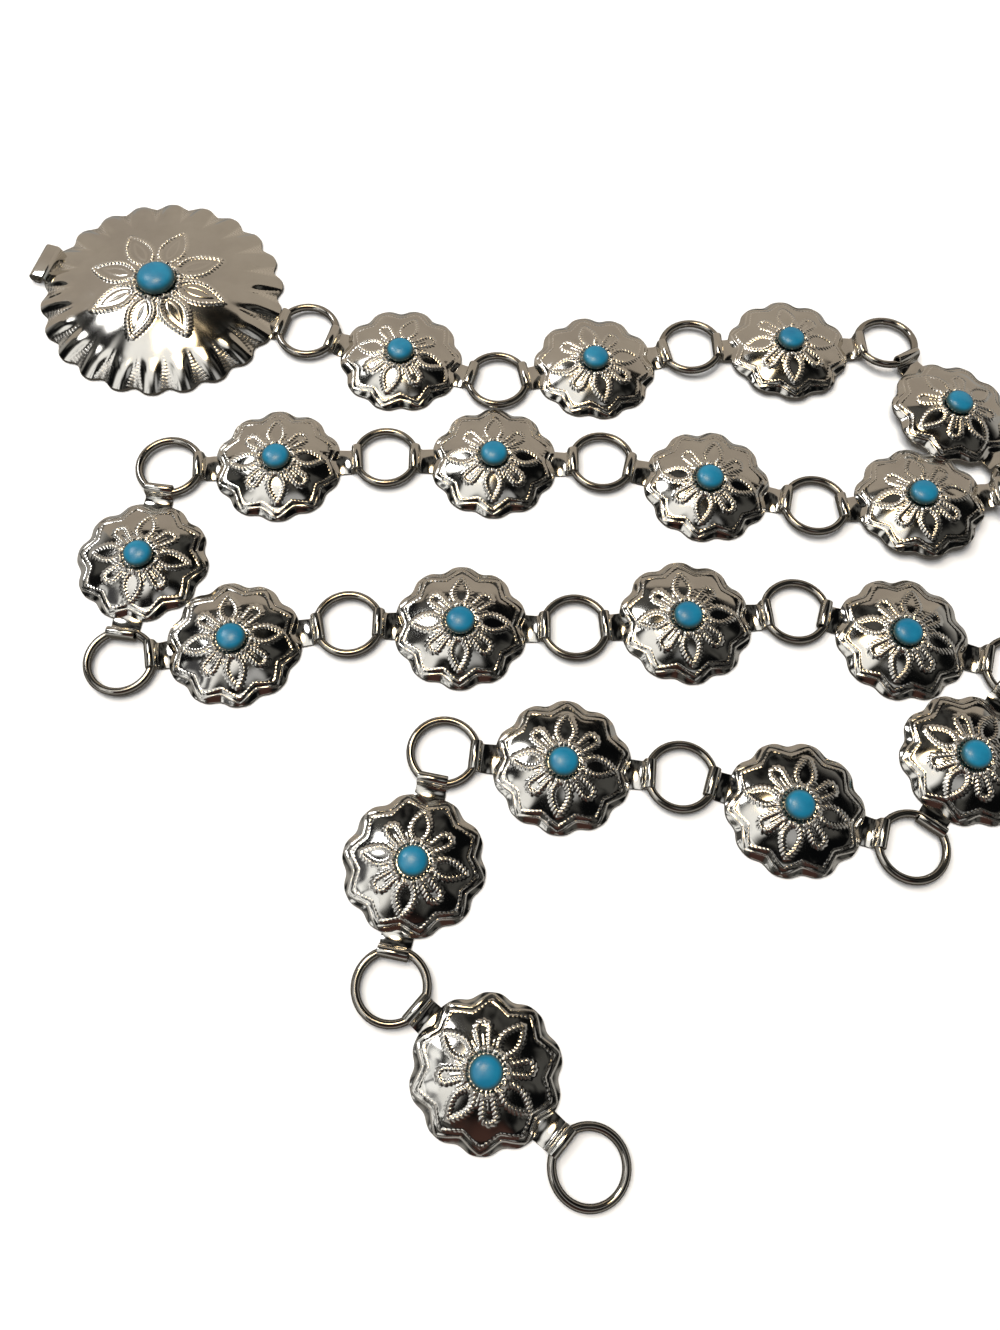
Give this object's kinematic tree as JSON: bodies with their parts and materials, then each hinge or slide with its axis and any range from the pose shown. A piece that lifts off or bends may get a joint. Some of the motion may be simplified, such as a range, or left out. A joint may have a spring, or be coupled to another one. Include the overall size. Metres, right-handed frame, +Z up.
{
  "type": "concho belt",
  "caption": "Concho belt: small domed, scalloped discs with turquoise stones, joined by wire rings through folded tabs, led by a large buckle disc with a hook, laid to and fro in rows.",
  "frame": {"origin": "on the table, under the middle of the belt's bounding box", "axes": "+X to the right of the picture along the rows, +Y away from the viewer, +Z up from the table"},
  "size_m": [0.2412, 0.2216, 0.0089],
  "materials": {
    "nickel_silver": "polished nickel silver, stamped and milled, darker in the cuts",
    "ring_wire": "polished round nickel silver wire",
    "turquoise": "polished turquoise cabochon with a darker edge"
  },
  "bodies": {
    "root": {"buckle": "nickel_silver", "buckle_stone": "turquoise", "concho_01": "nickel_silver", "concho_02": "nickel_silver", "concho_03": "nickel_silver", "concho_04": "nickel_silver", "concho_05": "nickel_silver", "concho_06": "nickel_silver", "concho_07": "nickel_silver", "concho_08": "nickel_silver", "concho_09": "nickel_silver", "concho_10": "nickel_silver", "concho_11": "nickel_silver", "concho_12": "nickel_silver", "concho_13": "nickel_silver", "concho_14": "nickel_silver", "concho_15": "nickel_silver", "concho_16": "nickel_silver", "concho_17": "nickel_silver", "concho_18": "nickel_silver", "stone_01": "turquoise", "stone_02": "turquoise", "stone_03": "turquoise", "stone_04": "turquoise", "stone_05": "turquoise", "stone_06": "turquoise", "stone_07": "turquoise", "stone_08": "turquoise", "stone_09": "turquoise", "stone_10": "turquoise", "stone_11": "turquoise", "stone_12": "turquoise", "stone_13": "turquoise", "stone_14": "turquoise", "stone_15": "turquoise", "stone_16": "turquoise", "stone_17": "turquoise", "stone_18": "turquoise", "ring_01": "ring_wire", "ring_02": "ring_wire", "ring_03": "ring_wire", "ring_04": "ring_wire", "ring_05": "ring_wire", "ring_06": "ring_wire", "ring_07": "ring_wire", "ring_08": "ring_wire", "ring_09": "ring_wire", "ring_10": "ring_wire", "ring_11": "ring_wire", "ring_12": "ring_wire", "ring_13": "ring_wire", "ring_14": "ring_wire", "ring_15": "ring_wire", "ring_16": "ring_wire", "ring_17": "ring_wire", "ring_18": "ring_wire", "ring_19": "ring_wire"}
  },
  "joints": []
}
